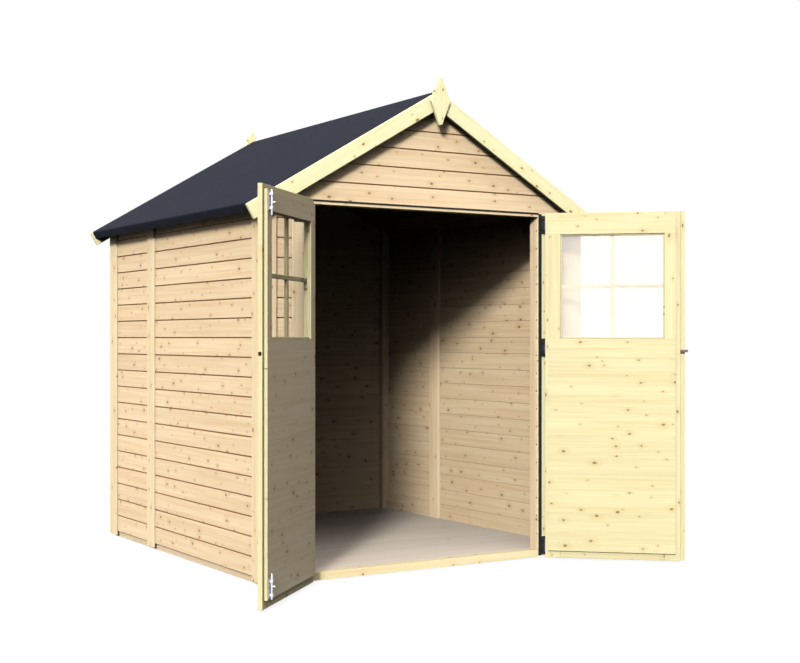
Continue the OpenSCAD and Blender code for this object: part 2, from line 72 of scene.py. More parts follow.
def solidBoxes(node, place=None):
    # lowest and highest corner of every solid in a node, seen from the frame of place
    back = (place or Matrix.Identity(4)).inverted()
    bm = bmesh.new()
    bm.from_mesh(frame["nodes"][node].data)
    bmesh.ops.remove_doubles(bm, verts=bm.verts[:], dist=limits["weld"])
    waiting = set(bm.verts)
    boxes = []
    while waiting:
        reach = [waiting.pop()]
        points = []
        while reach:
            vert = reach.pop()
            points.append(back @ vert.co)
            near = [edge.other_vert(vert) for edge in vert.link_edges]
            fresh = [other for other in near if other in waiting]
            waiting.difference_update(fresh)
            reach.extend(fresh)
        boxes.append(span(points))
    bm.free()
    return sorted(boxes, key=lambda pair: tuple(round(value, 4) for value in pair[0]))


def nodeBox(node, place):
    # one box round the whole node, seen from the frame of place
    return span([corner for pair in solidBoxes(node, place) for corner in pair])


deckPoints = [vert.co for vert in frame["nodes"]["right_roof_deck"].data.vertices]
ridgeUnder = min(point.z for point in deckPoints if point.x < limits["near"])
eavesFoot = min(deckPoints, key=lambda point: point.z)
roofPitch = math.atan2(ridgeUnder - eavesFoot.z, eavesFoot.x)


def slopePlace(side):
    # x runs down the slope from the ridge and z out of the roof; side is 1 on the right, -1 on the left
    down = Vector((side * math.cos(roofPitch), 0, -math.sin(roofPitch)))
    out = Vector((side * math.sin(roofPitch), 0, math.cos(roofPitch)))
    turn = Matrix((down, out.cross(down), out)).transposed().to_4x4()
    return Matrix.Translation((0, 0, ridgeUnder)) @ turn


def leafPlace(jointName, side):
    # x runs from the hinge pin to the meeting edge and y from outside to room
    joint = next(item for item in frame["joints"] if item["name"] == jointName)
    opened = math.radians(-joint["range_deg"][0])
    flip = Matrix.Scale(-side, 4, (1, 0, 0))
    return Matrix.Translation(joint["pos_m"]) @ flip @ Matrix.Rotation(-opened, 4, "Z")


leaves = {
    "left": leafPlace("left_door_swing", -1),
    "right": leafPlace("right_door_swing", 1),
}


# Shader groups shared by the finishes

def shade(red, green, blue):
    # a colour given as seen on screen, made linear
    def linear(value):
        value /= 255
        return value / 12.92 if value <= 0.04045 else ((value + 0.055) / 1.055) ** 2.4
    return (linear(red), linear(green), linear(blue), 1.0)


def feed(tree, socket, value):
    # links an output, or writes a plain value
    if isinstance(value, bpy.types.NodeSocket):
        tree.links.new(value, socket)
    else:
        socket.default_value = value


def put(tree, kind, inputs=None, **settings):
    # inputs go by name or number
    node = tree.nodes.new("ShaderNode" + kind)
    for name, value in settings.items():
        setattr(node, name, value)
    for name, value in (inputs or {}).items():
        feed(tree, node.inputs[name], value)
    return node


def maths(tree, operation, first, second=0.0, third=0.0):
    return put(tree, "Math", {0: first, 1: second, 2: third}, operation=operation).outputs[0]


def stretch(tree, vector, factors):
    return put(tree, "VectorMath", {0: vector, 1: factors}, operation="MULTIPLY").outputs[0]


def blur(tree, value, low, high, start=0.0, end=1.0):
    # smooth step from start to end while value goes from low to high
    inputs = {"Value": value, "From Min": low, "From Max": high, "To Min": start, "To Max": end}
    return put(tree, "MapRange", inputs, interpolation_type="SMOOTHSTEP").outputs[0]


def noiseOf(tree, vector, scale, detail=2.0, roughness=0.5):
    inputs = {"Vector": vector, "Scale": scale, "Detail": detail, "Roughness": roughness}
    return put(tree, "TexNoise", inputs).outputs[0]


def mixColour(tree, factor, first, second):
    # inputs 6 and 7 and output 2 are the node's colours
    return put(tree, "Mix", {0: factor, 6: first, 7: second}, data_type="RGBA").outputs[2]


def mixShader(tree, factor, first, second):
    return put(tree, "MixShader", {0: factor, 1: first, 2: second}).outputs[0]


def startGroup(name, inputs, outputs):
    group = bpy.data.node_groups.new(name, "ShaderNodeTree")
    for socketName, kind, value in inputs:
        socket = group.interface.new_socket(socketName, in_out="INPUT", socket_type="NodeSocket" + kind)
        if value is not None:
            socket.default_value = value
    for socketName, kind in outputs:
        group.interface.new_socket(socketName, in_out="OUTPUT", socket_type="NodeSocket" + kind)
    return group, group.nodes.new("NodeGroupInput").outputs, group.nodes.new("NodeGroupOutput").inputs


def useGroup(tree, group, **values):
    return put(tree, "Group", values, node_tree=group).outputs


def knotGroup():
    settings = {
        "cell": (0.62, 1.0, 1.0),      # longer along the board
        "wobble": 160.0, "smallest": 0.45, "spread": 1.1, "core": 0.55, "halo": 4.5, "rings": 3800.0,
    }
    group, given, result = startGroup(
        "boardKnots",
        [("Vector", "Vector", None), ("Spacing", "Float", 0.13), ("Radius", "Float", 0.005),
         ("Share", "Float", 0.7)],
        [("Knot", "Float"), ("Halo", "Float"), ("Rings", "Float")])
    cells = stretch(group, given["Vector"], settings["cell"])
    cells = put(group, "VectorMath", {0: cells, 1: given["Spacing"]}, operation="DIVIDE").outputs[0]
    scatter = put(group, "TexVoronoi", {"Vector": cells, "Scale": 1.0}, voronoi_dimensions="2D")
    away = maths(group, "MULTIPLY", scatter.outputs["Distance"], given["Spacing"])
    wobble = noiseOf(group, given["Vector"], settings["wobble"])
    away = maths(group, "MULTIPLY", away, maths(group, "ADD", wobble, 0.5))
    chance = put(group, "SeparateColor", {0: scatter.outputs["Color"]}).outputs
    here = maths(group, "LESS_THAN", chance["Green"], given["Share"])
    size = maths(group, "POWER", chance["Red"], 2.0)
    size = maths(group, "MULTIPLY_ADD", size, settings["spread"], settings["smallest"])
    radius = maths(group, "MULTIPLY", size, given["Radius"])
    core = blur(group, away, maths(group, "MULTIPLY", radius, settings["core"]), radius, 1.0, 0.0)
    halo = blur(group, away, radius, maths(group, "MULTIPLY", radius, settings["halo"]), 1.0, 0.0)
    rings = maths(group, "SINE", maths(group, "MULTIPLY", away, settings["rings"]))
    feed(group, result["Knot"], maths(group, "MULTIPLY", core, here))
    feed(group, result["Halo"], maths(group, "MULTIPLY", halo, here))
    feed(group, result["Rings"], maths(group, "MULTIPLY_ADD", rings, 0.5, 0.5))
    return group


def grainGroup():
    # each layer: stretch along and across the board, detail, roughness, and the noise it is read between
    settings = {
        "Streaks": ((1.6, 75.0, 75.0), 3.0, 0.55, 0.32, 0.72),
        "Lines": ((5.0, 420.0, 420.0), 2.0, 0.6, 0.3, 0.7),
        "Bands": ((0.9, 16.0, 16.0), 2.0, 0.5, 0.3, 0.7),
    }
    group, given, result = startGroup(
        "boardGrain", [("Vector", "Vector", None), ("Fineness", "Float", 1.0)],
        [("Streaks", "Float"), ("Lines", "Float"), ("Bands", "Float")])
    scaled = put(group, "VectorMath", {0: given["Vector"], "Scale": given["Fineness"]}, operation="SCALE")
    for name, (factors, detail, roughness, low, high) in settings.items():
        layer = noiseOf(group, stretch(group, scaled.outputs[0], factors), 1.0, detail, roughness)
        feed(group, result[name], blur(group, layer, low, high))
    return group


def timberGroup(knots, grain):
    settings = {
        "bend": 0.006,       # how far the grain runs round a knot
        "lines": 0.3, "streaks": 0.7, "bands": 0.45, "halo": 0.42, "rings": 0.35, "knot": 0.92,
        "roughness": 0.56, "grainRoughness": 0.16, "knotShine": 0.15, "knotHeight": 0.5,
    }
    group, given, result = startGroup(
        "planedTimber",
        [("Vector", "Vector", None), ("Tone", "Float", 0.0), ("Light", "Color", None), ("Dark", "Color", None),
         ("Knot Colour", "Color", None), ("Knot Spacing", "Float", 0.13), ("Knot Radius", "Float", 0.005),
         ("Knot Share", "Float", 0.7), ("Grain", "Float", 0.5), ("Tone Spread", "Float", 0.05),
         ("Fineness", "Float", 1.0)],
        [("Colour", "Color"), ("Roughness", "Float"), ("Height", "Float")])
    spots = useGroup(group, knots, Vector=given["Vector"], Spacing=given["Knot Spacing"],
                     Radius=given["Knot Radius"], Share=given["Knot Share"])
    bend = put(group, "CombineXYZ", {"Y": maths(group, "MULTIPLY", spots["Halo"], settings["bend"])})
    bent = put(group, "VectorMath", {0: given["Vector"], 1: bend.outputs[0]}, operation="ADD")
    lay = useGroup(group, grain, Vector=bent.outputs[0], Fineness=given["Fineness"])
    fine = maths(group, "MULTIPLY", lay["Streaks"], settings["streaks"])
    fine = maths(group, "MULTIPLY_ADD", lay["Lines"], settings["lines"], fine)
    depth = maths(group, "MULTIPLY", fine, given["Grain"])
    bands = maths(group, "MULTIPLY", given["Grain"], settings["bands"])
    depth = maths(group, "MULTIPLY_ADD", lay["Bands"], bands, depth)
    halo = maths(group, "MULTIPLY", spots["Halo"], settings["halo"])
    rings = maths(group, "MULTIPLY", spots["Rings"], settings["rings"])
    knot = maths(group, "MULTIPLY", spots["Knot"], settings["knot"])
    colour = mixColour(group, depth, given["Light"], given["Dark"])
    colour = mixColour(group, halo, colour, given["Dark"])
    colour = mixColour(group, knot, colour, mixColour(group, rings, given["Knot Colour"], given["Dark"]))
    value = maths(group, "MULTIPLY_ADD", given["Tone"], given["Tone Spread"], 1.0)
    feed(group, result["Colour"], put(group, "HueSaturation", {"Value": value, "Color": colour}).outputs[0])
    rough = maths(group, "MULTIPLY_ADD", fine, settings["grainRoughness"], settings["roughness"])
    shine = maths(group, "MULTIPLY", spots["Knot"], settings["knotShine"])
    feed(group, result["Roughness"], maths(group, "SUBTRACT", rough, shine))
    feed(group, result["Height"], maths(group, "MULTIPLY_ADD", spots["Knot"], settings["knotHeight"], fine))
    return group


def speckGroup():
    group, given, result = startGroup(
        "fineSpecks", [("Vector", "Vector", None), ("Scale", "Float", 900.0)],
        [("Specks", "Float"), ("Clouds", "Float")])
    fine = noiseOf(group, given["Vector"], given["Scale"], detail=1.0)
    wide = noiseOf(group, given["Vector"], scale=5.0, detail=4.0, roughness=0.55)
    feed(group, result["Specks"], blur(group, fine, low=0.35, high=0.68))
    feed(group, result["Clouds"], blur(group, wide, low=0.3, high=0.7))
    return group


timber = timberGroup(knotGroup(), grainGroup())
specks = speckGroup()


def startMaterial(name):
    material = bpy.data.materials.new(name)
    material.use_nodes = True
    return material, material.node_tree, material.node_tree.nodes["Principled BSDF"]


def bump(tree, shader, height, strength, distance):
    node = put(tree, "Bump", {"Strength": strength, "Distance": distance, "Height": height})
    feed(tree, shader.inputs["Normal"], node.outputs[0])


def timberFinish(name, look):
    # boards carry their own grain coordinates; a whole CAD timber uses Object coordinates along X
    material, tree, shader = startMaterial(name)
    if look.get("whole"):
        # turned half a right angle about X, so that neither face lies along a knot
        inputs = {"Vector": put(tree, "TexCoord").outputs["Object"], "Angle": math.radians(45)}
        vector = put(tree, "VectorRotate", inputs, rotation_type="X_AXIS").outputs[0]
        tone = 0.0
    else:
        vector = put(tree, "Attribute", attribute_name="grain").outputs["Vector"]
        tone = put(tree, "Attribute", attribute_name="tone").outputs["Fac"]
    out = useGroup(tree, timber, Vector=vector, Tone=tone, **{
        "Light": shade(*look["light"]), "Dark": shade(*look["dark"]), "Knot Colour": shade(*look["knot"]),
        "Knot Spacing": look["spacing"], "Knot Radius": look["radius"], "Knot Share": look["share"],
        "Grain": look["grain"], "Tone Spread": look["spread"], "Fineness": look.get("fineness", 1.0)})
    feed(tree, shader.inputs["Base Color"], out["Colour"])
    feed(tree, shader.inputs["Roughness"], out["Roughness"])
    bump(tree, shader, out["Height"], strength=0.35, distance=look["relief"])
    return material


looks = {
    "wall": {"light": (255, 231, 189), "dark": (228, 189, 140), "knot": (108, 68, 36), "spacing": 0.074,
             "radius": 0.005, "share": 0.88, "grain": 0.52, "spread": 0.04, "relief": 0.0004},
    # groove faces: the wall timber darkened, painted shade inside the joints
    "paintedGrooveShade": {"light": (196, 140, 84), "dark": (158, 106, 60), "knot": (60, 38, 22), "spacing": 0.105,
               "radius": 0.005, "share": 0.5, "grain": 0.5, "spread": 0.04, "relief": 0.0004},
    "strip": {"light": (254, 233, 191), "dark": (229, 195, 145), "knot": (108, 68, 36), "spacing": 0.08,
              "radius": 0.0054, "share": 0.85, "grain": 0.48, "spread": 0.03, "relief": 0.0004},
    "pale": {"light": (249, 247, 198), "dark": (237, 220, 154), "knot": (116, 76, 38), "spacing": 0.07,
             "radius": 0.0055, "share": 0.88, "grain": 0.38, "spread": 0.02, "relief": 0.0003},
    "leaf": {"light": (223, 217, 170), "dark": (206, 182, 122), "knot": (112, 72, 34), "spacing": 0.086,
             "radius": 0.0058, "share": 0.9, "grain": 0.44, "spread": 0.025, "relief": 0.0003},
    "sill": {"light": (252, 240, 192), "dark": (238, 208, 146), "knot": (116, 76, 38), "spacing": 0.1,
             "radius": 0.005, "share": 0.85, "grain": 0.45, "spread": 0.02, "relief": 0.0003, "whole": True},
    "frame": {"light": (246, 222, 182), "dark": (214, 176, 128), "knot": (90, 56, 32), "spacing": 0.13,
              "radius": 0.006, "share": 0.6, "grain": 0.45, "spread": 0.05, "relief": 0.0005},
    "floor": {"light": (255, 242, 222), "dark": (234, 214, 190), "knot": (150, 128, 108), "spacing": 0.25,
              "radius": 0.004, "share": 0.25, "grain": 0.65, "spread": 0.02, "fineness": 0.7, "relief": 0.0005},
}
for name, likeness, changes in (
    # room faces of the walls: a darker copy of the wall timber, painted shade inside the room
    ("inner", "wall", {"light": (241, 218, 178), "dark": (215, 178, 132), "knot": (102, 64, 34)}),
    # the left leaf's room faces, which stand in shade: a greyer, darker copy of the leaf timber, painted shade
    ("paintedShadeLeaf", "leaf", {"light": (225, 213, 179), "dark": (206, 182, 140), "knot": (104, 70, 40)}),
    ("roof", "frame", {"light": (232, 200, 156), "dark": (196, 154, 106), "knot": (92, 58, 34), "grain": 0.5,
                       "spread": 0.07}),
    ("head", "strip", {"whole": True}),
):
    looks[name] = {**looks[likeness], **changes}
timbers = {name: timberFinish(name + "Timber", look) for name, look in looks.items()}


def speckledFinish(name, look):
    material, tree, shader = startMaterial(name)
    vector = put(tree, "TexCoord").outputs["Object"]
    out = useGroup(tree, specks, Vector=vector, Scale=look["grit"])
    mottled = maths(tree, "MULTIPLY", out["Specks"], look["specks"])
    mottled = maths(tree, "MULTIPLY_ADD", out["Clouds"], look["clouds"], mottled)
    colour = mixColour(tree, mottled, shade(*look["base"]), shade(*look["worn"]))
    feed(tree, shader.inputs["Base Color"], colour)
    rough = maths(tree, "MULTIPLY_ADD", out["Specks"], look["uneven"], look["roughness"])
    feed(tree, shader.inputs["Roughness"], rough)
    shader.inputs["Specular IOR Level"].default_value = look["shine"]
    bump(tree, shader, out["Specks"], look["strength"], look["relief"])
    return material


def glassFinish(name, dustAndReflectionShare):
    settings = {
        "refraction": 1.45, "film": 40.0, "tint": (0.985, 0.995, 0.99, 1), "haze": 0.012,
        "straight": 0.94,    # share of the view that is neither bent nor mirrored
        "dustAndReflection": (0.93, 0.86, 0.75, 1), "uneven": 0.2,
    }
    material, tree, shader = startMaterial(name)
    shader.inputs["Transmission Weight"].default_value = 1.0
    shader.inputs["IOR"].default_value = settings["refraction"]
    vector = put(tree, "TexCoord").outputs["Object"]
    clouds = useGroup(tree, specks, Vector=vector, Scale=settings["film"])["Clouds"]
    feed(tree, shader.inputs["Base Color"], mixColour(tree, clouds, settings["tint"], (1, 1, 1, 1)))
    feed(tree, shader.inputs["Roughness"], maths(tree, "MULTIPLY", clouds, settings["haze"]))
    # a thin pane: light and most of the view go straight through
    path = put(tree, "LightPath").outputs
    through = maths(tree, "MAXIMUM", path["Is Shadow Ray"], path["Is Diffuse Ray"])
    view = maths(tree, "MULTIPLY", path["Is Camera Ray"], settings["straight"])
    clear = put(tree, "BsdfTransparent").outputs[0]
    pane = mixShader(tree, maths(tree, "MAXIMUM", through, view), shader.outputs[0], clear)
    # a pale diffuse veil on the side that is looked at, lit where the sun falls on it: a trace of dust on the
    # clear pane, mostly painted reflection on the right pane
    dustAndReflection = put(tree, "BsdfDiffuse", {"Color": settings["dustAndReflection"]})
    cover = maths(tree, "MULTIPLY_ADD", clouds, dustAndReflectionShare * settings["uneven"], dustAndReflectionShare)
    seen = maths(tree, "SUBTRACT", path["Is Camera Ray"], put(tree, "NewGeometry").outputs["Backfacing"])
    veil = maths(tree, "MULTIPLY", cover, maths(tree, "MAXIMUM", seen, 0.0))
    veiled = mixShader(tree, veil, pane, dustAndReflection.outputs[0])
    feed(tree, tree.nodes["Material Output"].inputs["Surface"], veiled)
    return material


smooth = {"specks": 0.4, "clouds": 0.5, "uneven": 0.15, "shine": 0.5, "strength": 0.2, "relief": 0.0002}
mineralFelt = speckledFinish("mineralFelt", {
    "base": (36, 38, 47), "worn": (46, 48, 58), "roughness": 0.88, "grit": 950.0, "specks": 0.6, "clouds": 0.2,
    "uneven": 0.08, "shine": 0.05, "strength": 0.5, "relief": 0.0006})
hingeSteel = speckledFinish("hingeSteel", {
    **smooth, "base": (34, 34, 36), "worn": (52, 52, 54), "roughness": 0.42, "grit": 260.0})
boltMetal = speckledFinish("boltMetal", {
    **smooth, "base": (236, 236, 238), "worn": (214, 215, 218), "roughness": 0.36, "grit": 420.0})
lockMetal = speckledFinish("lockMetal", {
    **smooth, "base": (104, 62, 58), "worn": (80, 46, 44), "roughness": 0.42, "grit": 520.0})
# black strips in the door gaps: painted shade
paintedGapShade = speckledFinish("paintedGapShade", {
    **smooth, "base": (19, 17, 16), "worn": (30, 27, 25), "roughness": 0.7, "grit": 340.0})
clearGlass = glassFinish("clearGlass", dustAndReflectionShare=0.03)
# the right pane: a thick pale veil, painted reflection of the bright surroundings
paintedReflectionGlass = glassFinish("paintedReflectionGlass", dustAndReflectionShare=0.52)
print("finishes made")


# Ways of making timber

def startPiece():
    bm = bmesh.new()
    bm.verts.layers.float_vector.new("grain")
    bm.verts.layers.float.new("tone")
    return bm


def easeEdges(bm, edges, width, segments=2):
    bmesh.ops.bevel(bm, geom=edges, offset=width, offset_type="OFFSET", segments=segments, profile=0.5,
                    affect="EDGES", material=-1)


def blockShape(low, high, edge):
    # a sawn block in a box with eased edges
    low, high = Vector(low), Vector(high)
    bm = startPiece()
    bmesh.ops.create_cube(bm, size=1.0, matrix=Matrix.LocRotScale((low + high) / 2, None, high - low))
    if edge:
        easeEdges(bm, bm.edges[:], edge)
    return bm


def stampGrain(bm, along):
    # every board gets its own stretch of grain: along, across, through
    farthest = 30
    grain = bm.verts.layers.float_vector["grain"]
    tone = bm.verts.layers.float["tone"]
    spread = [max(vert.co[i] for vert in bm.verts) - min(vert.co[i] for vert in bm.verts) for i in range(3)]
    across, through = sorted((i for i in range(3) if i != along), key=lambda i: -spread[i])
    shift = Vector([rng.uniform(0, farthest) for i in range(3)])
    boardTone = rng.uniform(-1, 1)
    for vert in bm.verts:
        vert[grain] = Vector((vert.co[along], vert.co[across], vert.co[through])) + shift
        vert[tone] = boardTone


def gather(target, part, where=None):
    # moves a finished part into a piece
    if where is not None:
        bmesh.ops.transform(part, matrix=where, verts=part.verts[:])
    mesh = bpy.data.meshes.new("part")
    part.to_mesh(mesh)
    part.free()
    target.from_mesh(mesh)
    bpy.data.meshes.remove(mesh)


def addTimber(bm, low, high, edge, along, where=None):
    part = blockShape(low, high, edge)
    stampGrain(part, along)
    gather(bm, part, where)


def pushFaces(bm, faces, move):
    # extrudes each face by itself and carries it along move
    made = bmesh.ops.extrude_discrete_faces(bm, faces=faces)["faces"]
    verts = list({vert for face in made for vert in face.verts})
    bmesh.ops.translate(bm, vec=move, verts=verts)
    return verts


def cutPlane(bm, point, normal, clear=False):
    # clear takes away what lies beyond the plane and closes the cut
    geom = bm.verts[:] + bm.edges[:] + bm.faces[:]
    cut = bmesh.ops.bisect_plane(bm, geom=geom, dist=limits["cut"], plane_co=point, plane_no=normal,
                                 clear_outer=clear)
    if clear:
        edges = [item for item in cut["geom_cut"] if isinstance(item, bmesh.types.BMEdge)]
        bmesh.ops.holes_fill(bm, edges=edges)


def cutUnderRoof(bm):
    # trims what reaches into the roof boards
    seat = 0.0002
    for side in (1, -1):
        where = slopePlace(side)
        out = where.to_3x3() @ Vector((0, 0, 1))
        cutPlane(bm, where.translation - out * seat, out, clear=True)


def makeObject(bm, name, material):
    mesh = bpy.data.meshes.new(name)
    bm.to_mesh(mesh)
    bm.free()
    mesh.materials.append(material)
    piece = bpy.data.objects.new(name, mesh)
    scene.collection.objects.link(piece)
    return piece


def finishPiece(bm, name, material, body, slot, *nodes):
    bmesh.ops.recalc_face_normals(bm, faces=bm.faces[:])
    piece = makeObject(bm, name, material)
    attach(piece, body)
    if nodes:
        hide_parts(*nodes)
    return piece


def timberPiece(node, along, edge, material, slot, body="root", where=None, underRoof=False):
    # one eased timber for every solid of a node
    bm = startPiece()
    for low, high in solidBoxes(node, where):
        addTimber(bm, low, high, edge, along, where)
    if underRoof:
        cutUnderRoof(bm)
    return finishPiece(bm, node + "_timber", material, body, slot, node)


def faceRoom(piece, place, material):
    # gives the faces that look into the room a second finish: painted shade on the walls and the left leaf, a
    # painted reflection on the right pane
    back = place.to_3x3().inverted()
    piece.data.materials.append(material)
    for face in piece.data.polygons:
        if face.material_index == 0 and (back @ face.normal).y > limits["room"]:
            face.material_index = len(piece.data.materials) - 1


# Walls of tongued boards

wallBoards = {
    "pitch": 0.0886,       # from one board to the next
    "groove": 0.006,       # open groove on the outside
    "faceDepth": 0.006,    # depth of that groove
    "backDepth": 0.0025,   # thickness of the lip that closes the joint on the inside
    "backGap": 0.0012,     # joint left open on the inside
    "engage": 0.004,       # how far a tongue enters the next board
    "edge": 0.0012,
    "spare": 0.02,         # a strip narrower than this is left on the last board
}


def wallBoard(length, outer, inner, foot, top, tongued):
    # x along the board, y from outside to room, z up
    sizes, square = wallBoards, limits["square"]
    bm = blockShape((length[0], outer, foot), (length[1], inner, top), sizes["edge"])
    front = outer + sizes["faceDepth"]
    rear = inner - sizes["backDepth"]
    for depth in (front, rear):
        cutPlane(bm, (0, depth, 0), (0, 1, 0))
    strips = [face for face in bm.faces
              if abs(face.normal.z) > square and front < face.calc_center_median().y < rear]
    slot = [face for face in strips
            if face.normal.z < 0 and face.calc_center_median().z < foot + limits["touch"]]
    pushFaces(bm, slot, (0, 0, sizes["engage"] + sizes["edge"]))
    if tongued:
        ridge = [face for face in strips if face.is_valid and face.normal.z > 0]
        tops = [face for face in bm.faces if face.normal.z > square]
        lip = [face for face in tops if face.calc_center_median().y > rear]
        shadow = [face for face in tops if face.calc_center_median().y < front]
        pushFaces(bm, lip, (0, 0, sizes["groove"] - sizes["backGap"]))
        verts = pushFaces(bm, ridge, (0, 0, sizes["groove"] + sizes["engage"]))
        # faces in the groove take the darker second finish: painted shade in the joint
        for face in shadow + list({face for vert in verts for face in vert.link_faces}):
            face.material_index = 1
    stampGrain(bm, 0)
    return bm


def boardedWall(node, facing):
    # facing is the turn about Z that points local y into the room
    sizes = wallBoards
    turn = Matrix.Rotation(math.radians(facing), 4, "Z")
    bm = startPiece()
    for low, high in solidBoxes(node, turn):
        foot = low.z
        while foot < high.z - limits["near"]:
            last = foot + sizes["pitch"] > high.z - sizes["spare"]
            top = high.z if last else foot + sizes["pitch"] - sizes["groove"]
            gather(bm, wallBoard((low.x, high.x), low.y, high.y, foot, top, not last), turn)
            foot = high.z if last else foot + sizes["pitch"]
    cutUnderRoof(bm)
    piece = finishPiece(bm, node + "_boards", timbers["wall"], "root", "wall_boards", node)
    # second finish: painted shade for the grooves
    piece.data.materials.append(timbers["paintedGrooveShade"])
    # faces that look into the room get the darker copy: painted shade
    faceRoom(piece, turn, timbers["inner"])


for wallName, facing in (
    ("left_wall_front_panel", -90), ("left_wall_rear_panel", -90),
    ("right_wall_front_panel", 90), ("right_wall_rear_panel", 90),
    ("rear_wall_left_panel", 180), ("rear_wall_right_panel", 180), ("rear_gable", 180),
    ("front_wall_side_panels", 0), ("front_gable", 0),
):
    boardedWall(wallName, facing)
print("walls boarded")


# Frame, strips and trims

eased = {"post": 0.002, "strip": 0.0025, "bearer": 0.002, "barge": 0.003, "purlin": 0.002, "sill": 0.0015}

timberPiece("corner_posts", 2, eased["post"], timbers["frame"], "framing", underRoof=True)
timberPiece("joint_battens", 2, eased["post"], timbers["frame"], "framing", underRoof=True)
timberPiece("door_posts", 2, eased["post"], timbers["frame"], "framing")
timberPiece("side_cover_strips", 2, eased["strip"], timbers["strip"], "cover_strips", underRoof=True)
timberPiece("gable_cover_strips", 2, eased["strip"], timbers["strip"], "cover_strips", underRoof=True)
trims = timberPiece("door_trims", 2, eased["strip"], timbers["strip"], "cover_strips")
trims.data.materials.append(timbers["pale"])     # the right trim is paler and the left one darker: painted light on the sunlit right one, painted shade on the left one behind its leaf
for face in trims.data.polygons:
    face.material_index = 1 if face.center.x > 0 else 0
timberPiece("floor_bearers", 1, eased["bearer"], timbers["frame"], "framing")


def floorSheets():
    # sheets laid across the shed, cut back round the sill
    sizes = {"sheets": 3, "edge": 0.0008}
    low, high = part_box("floor_deck")
    sillLow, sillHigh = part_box("door_sill")
    bm = startPiece()
    step = (high.y - low.y) / sizes["sheets"]
    for i in range(sizes["sheets"]):
        near, far = low.y + i * step, low.y + (i + 1) * step
        addTimber(bm, (low.x, near, low.z), (high.x, far, high.z), sizes["edge"], 0)
    # notch for the sill: the front sheet starts behind it
    for x in (sillLow.x, sillHigh.x):
        cutPlane(bm, (x, 0, 0), (1, 0, 0))
    cutPlane(bm, (0, sillHigh.y, 0), (0, 1, 0))
    middles = {face: face.calc_center_median() for face in bm.faces}
    inside = [face for face, middle in middles.items()
              if sillLow.x < middle.x < sillHigh.x and middle.y < sillHigh.y]
    bmesh.ops.delete(bm, geom=inside, context="FACES")
    bmesh.ops.holes_fill(bm, edges=[edge for edge in bm.edges if edge.is_boundary])
    finishPiece(bm, "floor_sheets", timbers["floor"], "root", "floor", "floor_deck")


floorSheets()


def dressNode(node, material, edge=0.0):
    # a CAD node that stays: its finish, and eased edges over its merged mesh
    piece = frame["nodes"][node]
    piece.data.materials.clear()
    piece.data.materials.append(material)
    if edge:
        weld = piece.modifiers.new("join", "WELD")
        weld.merge_threshold = limits["weld"]
        ease = piece.modifiers.new("ease", "BEVEL")
        ease.width = edge
        ease.segments = 2
        ease.limit_method = "ANGLE"
        ease.angle_limit = limits["crease"]
    return piece


dressNode("door_sill", timbers["sill"], eased["sill"])
dressNode("door_head", timbers["head"], eased["sill"])
print("frame and floor made")


# Roof

def roofBoards(node, side):
    sizes = {"width": 0.095, "edge": 0.0014}
    where = slopePlace(side)
    low, high = nodeBox(node, where)
    count = round((high.x - low.x) / sizes["width"])
    step = (high.x - low.x) / count
    bm = startPiece()
    for i in range(count):
        near, far = low.x + i * step, low.x + (i + 1) * step
        addTimber(bm, (near, low.y, low.z), (far, high.y, high.z), sizes["edge"], 1, where)
    cutPlane(bm, (0, 0, 0), (-side, 0, 0), clear=True)
    finishPiece(bm, node + "_boards", timbers["roof"], "root", "framing", node)


roofBoards("left_roof_deck", -1)
roofBoards("right_roof_deck", 1)


def slopedTimbers(node):
    # battens and purlins lie square to the slope; the ridge purlin stands upright
    bm = startPiece()
    for low, high in solidBoxes(node):
        middle, where = (low.x + high.x) / 2, None
        if abs(middle) > limits["ridge"]:
            where = slopePlace(1 if middle > 0 else -1)
            low, high = min(solidBoxes(node, where), key=lambda pair: abs(pair[1].z))
        addTimber(bm, low, high, eased["purlin"], 1, where)
    cutUnderRoof(bm)
    finishPiece(bm, node + "_timber", timbers["roof"], "root", "framing", node)


slopedTimbers("eaves_battens")
slopedTimbers("roof_purlins")


def bargeBoard(node, side):
    where = slopePlace(side)
    low, high = nodeBox(node, where)
    bm = blockShape(low, high, eased["barge"])
    stampGrain(bm, 0)
    bmesh.ops.transform(bm, matrix=where, verts=bm.verts[:])
    cutPlane(bm, (0, 0, 0), (-side, 0, 0), clear=True)
    finishPiece(bm, node + "_timber", timbers["pale"], "root", "cover_strips", node)


for end in ("front", "rear"):
    bargeBoard(end + "_left_barge_board", -1)
    bargeBoard(end + "_right_barge_board", 1)


def finial(node):
    sizes = {"tip": 0.014, "edge": 0.003, "crease": 0.1}
    low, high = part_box(node)
    middle = (low + high) / 2
    bm = blockShape(low, high, 0)
    cutPlane(bm, middle, (0, 0, 1))
    ends = [vert for vert in bm.verts if abs(vert.co.z - middle.z) > limits["near"]]
    bmesh.ops.scale(bm, vec=(sizes["tip"] / (high.x - low.x), 1, 1), verts=ends)
    edges = [edge for edge in bm.edges if edge.calc_face_angle() > sizes["crease"]]
    easeEdges(bm, edges, sizes["edge"])
    stampGrain(bm, 2)
    finishPiece(bm, node + "_diamond", timbers["pale"], "root", "cover_strips", node)


finial("front_finial")
finial("rear_finial")


